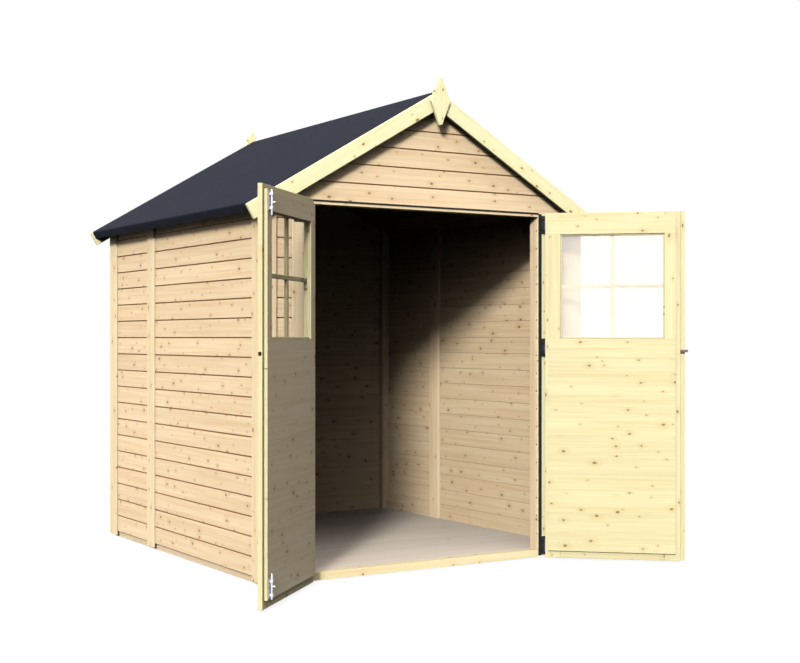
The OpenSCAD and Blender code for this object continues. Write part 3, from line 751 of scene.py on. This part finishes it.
def roofFelt():
    # one sheet over both slopes, folded over the eaves; long edges are cut so that it can sag
    sizes = {"thick": 0.0022, "bend": 0.006, "sag": 0.0003, "ripple": 3.5, "cuts": 24, "lengthwise": 0.5,
             "downwards": 0.3}
    low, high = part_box("roof_felt")
    top = (high.z - ridgeUnder) * math.cos(roofPitch)
    length = (high.x - top * math.sin(roofPitch)) / math.cos(roofPitch)
    drop = (ridgeUnder - length * math.sin(roofPitch) - low.z) / math.cos(roofPitch)
    right, left = slopePlace(1), slopePlace(-1)
    bm = bmesh.new()
    outline = [left @ Vector((length, 0, -drop)), left @ Vector((length, 0, top)), Vector((0, 0, high.z)),
               right @ Vector((length, 0, top)), right @ Vector((length, 0, -drop))]
    verts = [bm.verts.new((point.x, low.y, point.z)) for point in outline]
    edges = [bm.edges.new(pair) for pair in zip(verts, verts[1:])]
    made = bmesh.ops.extrude_edge_only(bm, edges=edges)["geom"]
    farEnd = [item for item in made if isinstance(item, bmesh.types.BMVert)]
    bmesh.ops.translate(bm, vec=(0, high.y - low.y, 0), verts=farEnd)
    bends = [edge for edge in bm.edges if len(edge.link_faces) == 2]
    easeEdges(bm, bends, sizes["bend"], segments=3)
    for axis, least in ((1, sizes["lengthwise"]), (0, sizes["downwards"])):
        runs = [edge for edge in bm.edges if abs(edge.verts[0].co[axis] - edge.verts[1].co[axis]) > least]
        bmesh.ops.subdivide_edges(bm, edges=runs, cuts=sizes["cuts"], use_grid_fill=True)
    for vert in bm.verts:
        vert.co.z -= sizes["sag"] * (0.5 + 0.5 * noise.noise(vert.co * sizes["ripple"]))
    bmesh.ops.recalc_face_normals(bm, faces=bm.faces[:])
    bmesh.ops.solidify(bm, geom=bm.faces[:], thickness=sizes["thick"])
    for face in bm.faces:
        face.smooth = True
    for edge in bm.edges:
        edge.smooth = edge.is_manifold and edge.calc_face_angle() < limits["crease"]
    finishPiece(bm, "roof_felt_sheet", mineralFelt, "root", "roofing_felt", "roof_felt")


roofFelt()
print("roof covered")


# Door leaves

doorSizes = {
    "edge": 0.0016,
    "boardWidth": 0.095,   # inner boards
    "hairline": 0.0005,    # joint between two inner boards
    "bar": 0.018,          # width of a window bar
    "bead": 0.007,         # side of the beads round the pane
    "barEdge": 0.0015,
}


def framedStiles(side, mortise):
    # uprights of a leaf, the meeting one with the lock's mortise in its edge
    node = side + "_door_stiles"
    where = leaves[side]
    mouthLow, mouthHigh = mortise
    bm = startPiece()
    hingeSide, meeting = solidBoxes(node, where)
    for low, high in (hingeSide, meeting):
        part = blockShape(low, high, doorSizes["edge"])
        if low is meeting[0]:
            for axis, way in ((1, Vector((0, 1, 0))), (2, Vector((0, 0, 1)))):
                for corner in mortise:
                    cutPlane(part, way * corner[axis], way)
            middles = {face: face.calc_center_median() for face in part.faces}
            mouth = [face for face, middle in middles.items() if middle.x > high.x - limits["touch"]
                     and mouthLow.y < middle.y < mouthHigh.y and mouthLow.z < middle.z < mouthHigh.z]
            pushFaces(part, mouth, (mouthLow.x - high.x, 0, 0))
        stampGrain(part, 2)
        gather(bm, part, where)
    finishPiece(bm, node + "_timber", timbers["leaf"], side + "_door", "door_wood", node)


def innerBoards(side):
    # flush boards across the leaf, under and over the window
    node = side + "_door_boards"
    where = leaves[side]
    bm = startPiece()
    for low, high in solidBoxes(node, where):
        count = max(1, round((high.z - low.z) / doorSizes["boardWidth"]))
        step = (high.z - low.z) / count
        for i in range(count):
            foot, top = low.z + i * step, low.z + (i + 1) * step
            addTimber(bm, (low.x, low.y, foot), (high.x, high.y, top), doorSizes["hairline"], 0, where)
    return finishPiece(bm, node + "_timber", timbers["leaf"], side + "_door", "door_wood", node)


def windowBars(side):
    # a cross of bars outside the pane, and beads that hold it from the room
    where = leaves[side]
    low, high = nodeBox(side + "_door_glass", where)
    outside = nodeBox(side + "_door_rails", where)[0].y
    inside = high.y + doorSizes["bead"]
    bar, bead = doorSizes["bar"] / 2, doorSizes["bead"]
    midX, midZ = (low.x + high.x) / 2, (low.z + high.z) / 2
    spans = [
        (midX - bar, midX + bar, outside, low.y, low.z, high.z, 2),
        (low.x, midX - bar, outside, low.y, midZ - bar, midZ + bar, 0),
        (midX + bar, high.x, outside, low.y, midZ - bar, midZ + bar, 0),
        (low.x, low.x + bead, high.y, inside, low.z, high.z, 2),
        (high.x - bead, high.x, high.y, inside, low.z, high.z, 2),
        (low.x + bead, high.x - bead, high.y, inside, low.z, low.z + bead, 0),
        (low.x + bead, high.x - bead, high.y, inside, high.z - bead, high.z, 0),
    ]
    bm = startPiece()
    for x0, x1, y0, y1, z0, z1, along in spans:
        addTimber(bm, (x0, y0, z0), (x1, y1, z1), doorSizes["barEdge"], along, where)
    finishPiece(bm, side + "_window_bars", timbers["leaf"], side + "_door", "door_wood")


lockLow, lockHigh = nodeBox("lock_bolt", leaves["right"])
lockRoom = {"left": (0.002, 0.042), "right": (0.0003, 0.07)}     # gap round the bolt, depth of the mortise
for side, (gap, depth) in lockRoom.items():
    body, where = side + "_door", leaves[side]
    edgeOf = nodeBox(side + "_door_stiles", where)[1].x
    framedStiles(side, (Vector((edgeOf - depth, lockLow.y - gap, lockLow.z - gap)),
                        Vector((edgeOf, lockHigh.y + gap, lockHigh.z + gap))))
    timberPiece(side + "_door_rails", 0, doorSizes["edge"], timbers["leaf"], "door_wood", body, where)
    boards = innerBoards(side)
    uprights = timberPiece(side + "_door_side_boards", 2, doorSizes["hairline"], timbers["leaf"],
                           "door_wood", body, where)
    windowBars(side)
    pane = dressNode(side + "_door_glass", clearGlass)
    if side == "left":
        # the left leaf's room faces get the greyer copy: painted shade
        faceRoom(boards, where, timbers["paintedShadeLeaf"])
        faceRoom(uprights, where, timbers["paintedShadeLeaf"])
    else:
        # the right pane's room face gets the pale veil: painted reflection
        faceRoom(pane, where, paintedReflectionGlass)


def coverMoulding():
    # rounded strip on the right leaf, rebated where it laps the left one
    sizes = {"rebate": 0.005, "round": 0.004}
    where = leaves["right"]
    low, high = nodeBox("right_door_astragal", where)
    edgeOf = nodeBox("right_door_stiles", where)[1].x
    bm = blockShape(low, (high.x, high.y - sizes["rebate"], high.z), 0)
    fronts = [edge for edge in bm.edges
              if all(abs(vert.co.y - low.y) < limits["touch"] for vert in edge.verts)]
    easeEdges(bm, fronts, sizes["round"], segments=4)
    cutPlane(bm, (edgeOf, 0, 0), (1, 0, 0))
    seat = [face for face in bm.faces
            if face.normal.y > limits["square"] and face.calc_center_median().x < edgeOf]
    pushFaces(bm, seat, (0, sizes["rebate"], 0))
    stampGrain(bm, 2)
    bmesh.ops.transform(bm, matrix=where, verts=bm.verts[:])
    finishPiece(bm, "cover_moulding", timbers["leaf"], "right_door", "door_wood", "right_door_astragal")


coverMoulding()
print("leaves made")


# Ironmongery

fittingEdges = {"hinge": 0.0005, "bolt": 0.0004, "lock": 0.001}

for node in ("left_hinge_plates", "right_hinge_plates", "left_hinge_straps", "right_hinge_straps"):
    dressNode(node, hingeSteel, fittingEdges["hinge"])
for node in ("bolt_plates", "left_top_bolt", "left_bottom_bolt"):
    dressNode(node, boltMetal, fittingEdges["bolt"])
dressNode("lock_bolt", lockMetal, fittingEdges["lock"])


def doorKnob():
    # turned knob: a profile of distances from the leaf and radii, spun round its spindle
    sizes = {
        "rose": ((0, 0.02), (0.0028, 0.02), (0.004, 0.017), (0.0055, 0.0105)),
        "neck": 0.008, "neckStart": 0.0085, "ball": 0.02,
        "ballLength": 1.9,     # in radii
        "ballTurn": 155, "turnStep": 15.5, "points": 11, "steps": 40, "weld": 0.00005,
    }
    where = leaves["right"]
    low, high = nodeBox("door_knob", where)
    middle = Vector(((low.x + high.x) / 2, high.y, (low.z + high.z) / 2))
    length = high.y - low.y
    ball = sizes["ball"]
    profile = [*sizes["rose"], (sizes["neckStart"], sizes["neck"]),
               (length - sizes["ballLength"] * ball, sizes["neck"])]
    for i in range(sizes["points"]):
        turn = math.radians(sizes["ballTurn"] - sizes["turnStep"] * i)
        profile.append((length - ball - ball * math.cos(turn), ball * math.sin(turn)))
    bm = bmesh.new()
    verts = [bm.verts.new((middle.x + radius, middle.y - out, middle.z)) for out, radius in profile]
    edges = [bm.edges.new(pair) for pair in zip(verts, verts[1:])]
    bmesh.ops.spin(bm, geom=verts + edges, cent=middle, axis=(0, 1, 0), angle=math.tau, steps=sizes["steps"],
                   use_merge=True)
    bmesh.ops.remove_doubles(bm, verts=bm.verts[:], dist=sizes["weld"])
    bmesh.ops.holes_fill(bm, edges=[edge for edge in bm.edges if edge.is_boundary])
    for face in bm.faces:
        face.smooth = len(face.verts) <= 4
    bmesh.ops.transform(bm, matrix=where, verts=bm.verts[:])
    finishPiece(bm, "turned_knob", lockMetal, "right_door", "lock_metal", "door_knob")


doorKnob()


def screwHead(bm, where, radius):
    # raised head with a socket, facing local z; sizes are shares of the radius
    shares = {"top": 0.72, "tall": 0.35, "lift": 0.12, "rim": 0.3, "socket": 0.25}
    sizes = {name: radius * share for name, share in shares.items()}
    part = bmesh.new()
    bmesh.ops.create_cone(part, cap_ends=True, segments=12, radius1=radius, radius2=sizes["top"],
                          depth=sizes["tall"], matrix=Matrix.Translation((0, 0, sizes["lift"])))
    top = max(part.faces, key=lambda face: face.calc_center_median().z)
    bmesh.ops.inset_individual(part, faces=[top], thickness=sizes["rim"])
    bmesh.ops.translate(part, vec=(0, 0, -sizes["socket"]), verts=top.verts[:])
    gather(bm, part, where)


def facePlace(point, normal):
    return Matrix.Translation(point) @ Vector(normal).to_track_quat("Z", "Y").to_matrix().to_4x4()


def strapScrews(side):
    # along each strap, and at the corners of each fixed plate
    sizes = {"radius": 0.0045, "thick": 0.003, "shares": (0.14, 0.38, 0.64, 0.93), "insets": (0.012, 0.036),
             "end": 0.014}
    where = leaves[side]
    normal = where.to_3x3() @ Vector((0, -1, 0))
    straps = bmesh.new()
    for low, high in solidBoxes(side + "_hinge_straps", where):
        for share in sizes["shares"]:
            spot = where @ Vector((share * high.x, high.y - sizes["thick"], (low.z + high.z) / 2))
            screwHead(straps, facePlace(spot, normal), sizes["radius"])
    finishPiece(straps, side + "_strap_screws", hingeSteel, side + "_door", "hinge_steel")
    plates = bmesh.new()
    for low, high in solidBoxes(side + "_hinge_plates"):
        outer, towards = (low.x, 1) if side == "left" else (high.x, -1)
        for inset in sizes["insets"]:
            for height in (low.z + sizes["end"], high.z - sizes["end"]):
                spot = Vector((outer + towards * inset, high.y - sizes["thick"], height))
                screwHead(plates, facePlace(spot, (0, -1, 0)), sizes["radius"])
    finishPiece(plates, side + "_plate_screws", hingeSteel, "root", "hinge_steel")


def boltScrews():
    sizes = {"radius": 0.003, "thick": 0.002, "inset": 0.005, "end": 0.03}
    where = leaves["left"]
    bm = bmesh.new()
    normal = where.to_3x3() @ Vector((0, 1, 0))
    for low, high in solidBoxes("bolt_plates", where):
        for x in (low.x + sizes["inset"], high.x - sizes["inset"]):
            for z in (low.z + sizes["end"], high.z - sizes["end"]):
                spot = where @ Vector((x, low.y + sizes["thick"], z))
                screwHead(bm, facePlace(spot, normal), sizes["radius"])
    finishPiece(bm, "bolt_screws", boltMetal, "left_door", "bolt_metal")


strapScrews("left")
strapScrews("right")
boltScrews()


def nailHeads():
    # flat heads in pairs that hold the strips, trims, barge boards and finials
    sizes = {
        "radius": 0.0026, "taper": 0.8, "thick": 0.0012, "inset": 0.016, "apart": 0.42,
        "foot": 0.06, "ends": 0.18,      # distance from a strip's foot, and from both ends together
        "bargeShares": (0.12, 0.4, 0.68, 0.95), "finial": 0.03,
    }
    bm = bmesh.new()

    def nail(spot, way):
        bmesh.ops.create_cone(bm, cap_ends=True, segments=10, radius1=sizes["radius"],
                              radius2=sizes["radius"] * sizes["taper"], depth=sizes["thick"],
                              matrix=facePlace(spot, way))

    for node in ("side_cover_strips", "gable_cover_strips", "door_trims"):
        for low, high in solidBoxes(node):
            size, spot = high - low, (low + high) / 2
            flat, wide = (0, 1) if size.x < size.y else (1, 0)
            way = Vector((0, 0, 0))
            way[flat] = math.copysign(1, spot[flat])
            spot[flat] += way[flat] * size[flat] / 2
            middle = spot[wide]
            steps = round(size.z / sizes["apart"])
            for i in range(steps + 1):
                spot.z = low.z + sizes["foot"] + (size.z - sizes["ends"]) * i / steps
                for offset in (sizes["inset"] - size[wide] / 2, size[wide] / 2 - sizes["inset"]):
                    spot[wide] = middle + offset
                    nail(spot, way)
    for end, way in (("front", Vector((0, -1, 0))), ("rear", Vector((0, 1, 0)))):
        for side, where in (("left", slopePlace(-1)), ("right", slopePlace(1))):
            node = end + "_" + side + "_barge_board"
            low, high = nodeBox(node, where)
            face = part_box(node)[0 if end == "front" else 1].y
            for share in sizes["bargeShares"]:
                for out in (low.z + sizes["inset"], high.z - sizes["inset"]):
                    spot = where @ Vector((share * high.x, 0, out))
                    spot.y = face
                    nail(spot, way)
        low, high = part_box(end + "_finial")
        face = low.y if end == "front" else high.y
        for offset in (-sizes["finial"], sizes["finial"]):
            nail(Vector(((low.x + high.x) / 2, face, (low.z + high.z) / 2 + offset)), way)
    finishPiece(bm, "nail_heads", boltMetal, "root", "bolt_metal")


nailHeads()


def paintedShadeStrips():
    # thin black strips on the trims and along the head, where the leaves close: painted shade for the dark gaps
    # beside the leaves and under the head, drawn as draught seals
    sizes = {"wide": 0.019, "tall": 0.008, "thick": 0.004, "inset": 0.0008, "edge": 0.001}
    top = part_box("left_door_stiles")[1].z
    bm = startPiece()
    inners = []
    for low, high in solidBoxes("door_trims"):
        inner, turn = (high.x, -1) if high.x < 0 else (low.x, 1)
        near = inner + turn * sizes["inset"]
        far = near + turn * sizes["wide"]
        gather(bm, blockShape((min(near, far), low.y - sizes["thick"], low.z),
                              (max(near, far), low.y, min(high.z, top)), sizes["edge"]))
        inners.append(near)
    low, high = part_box("door_head")
    gather(bm, blockShape((min(inners), low.y - sizes["thick"], high.z - sizes["tall"]),
                          (max(inners), low.y, high.z), sizes["edge"]))
    finishPiece(bm, "painted_shade_strips", paintedGapShade, "root", "roofing_felt")


paintedShadeStrips()
print("ironmongery made")


# Studio

def whiteTo(tree, depth):
    # rays up to a depth, and those that see the surroundings as white
    path = put(tree, "LightPath").outputs
    direct = maths(tree, "LESS_THAN", path["Ray Depth"], depth)
    mirrored = maths(tree, "MAXIMUM", path["Is Glossy Ray"], path["Is Transmission Ray"])
    mirrored = maths(tree, "MULTIPLY", mirrored, direct)
    return direct, maths(tree, "MAXIMUM", path["Is Camera Ray"], mirrored)


def studio():
    settings = {
        "sunWay": (0.636, 0.672, -0.378), "sunPower": 3.15, "sunSpread": 10.0,
        "glow": ((4.5, 45.0), (0.4, 9.0)),     # strength and narrowness of the haze round the sun
        "sky": ((0.35, 0.2, 0.6), (2.0, 0.64, 0.87)),     # strength and the heights between which it comes in
        "skyTint": (0.99, 0.96, 1.0, 1), "skyDepth": 2.5,
        "floorAlbedo": 0.02, "floorGlow": 0.86, "floorSoft": 0.16, "floorDepth": 1.5, "floorRoughness": 0.9,
        "floorReach": 60.0,
    }
    sun = bpy.data.lights.new("keySun", "SUN")
    sun.energy = settings["sunPower"]
    sun.angle = math.radians(settings["sunSpread"])
    sun.cycles.max_bounces = 0      # keeps the room as dark as it stands in the photo
    lamp = bpy.data.objects.new("keySun", sun)
    lamp.rotation_euler = Vector(settings["sunWay"]).to_track_quat("-Z", "Y").to_euler()
    scene.collection.objects.link(lamp)

    # a dome that brightens upwards and lights only what it shines on; seen or mirrored it is white
    world = bpy.data.worlds.new("studio")
    world.cycles.max_bounces = 0
    scene.world = world
    world.use_nodes = True
    tree = world.node_tree
    direct, seen = whiteTo(tree, settings["skyDepth"])
    way = put(tree, "TexCoord").outputs["Generated"]
    rise = put(tree, "SeparateXYZ", {0: way})
    dome = 0.0
    for strength, low, high in settings["sky"]:
        dome = maths(tree, "ADD", blur(tree, rise.outputs["Z"], low, high, 0.0, strength), dome)
    toSun = -Vector(settings["sunWay"]).normalized()
    near = put(tree, "VectorMath", {0: way, 1: toSun}, operation="DOT_PRODUCT")
    for strength, narrow in settings["glow"]:
        haze = maths(tree, "POWER", maths(tree, "MAXIMUM", near.outputs["Value"], 0.0), narrow)
        dome = maths(tree, "MULTIPLY_ADD", haze, strength, dome)
    sky = tree.nodes["Background"]
    feed(tree, sky.inputs["Color"], mixColour(tree, seen, settings["skyTint"], (1, 1, 1, 1)))
    feed(tree, sky.inputs["Strength"], maths(tree, "MAXIMUM", seen, maths(tree, "MULTIPLY", dome, direct)))

    material, tree, shader = startMaterial("paleFloor")
    shader.inputs["Base Color"].default_value = (settings["floorAlbedo"],) * 3 + (1,)
    shader.inputs["Roughness"].default_value = settings["floorRoughness"]
    seen = whiteTo(tree, settings["floorDepth"])[1]
    white = put(tree, "Emission", {"Strength": settings["floorGlow"]})
    soft = put(tree, "BsdfDiffuse", {"Color": (settings["floorSoft"],) * 3 + (1,)})
    shown = put(tree, "AddShader", {0: white.outputs[0], 1: soft.outputs[0]})
    both = mixShader(tree, seen, shader.outputs[0], shown.outputs[0])
    feed(tree, tree.nodes["Material Output"].inputs["Surface"], both)
    bm = bmesh.new()
    bmesh.ops.create_grid(bm, x_segments=1, y_segments=1, size=settings["floorReach"])
    floor = makeObject(bm, "paleFloor", material)
    scene.view_settings.view_transform = "Standard"


def photoCamera():
    settings = {"lens": 61.44, "sensor": 36.0, "place": (-3.5621, -6.3273, 1.0943), "tilt": 90, "turn": -32.109,
                "rise": 6.19 / 800}
    data = bpy.data.cameras.new("photoCamera")
    data.lens = settings["lens"]
    data.sensor_width = settings["sensor"]
    data.shift_y = settings["rise"]
    camera = bpy.data.objects.new("photoCamera", data)
    camera.location = settings["place"]
    camera.rotation_euler = (math.radians(settings["tilt"]), 0, math.radians(settings["turn"]))
    scene.collection.objects.link(camera)
    scene.camera = camera


studio()
photoCamera()
print("studio set")
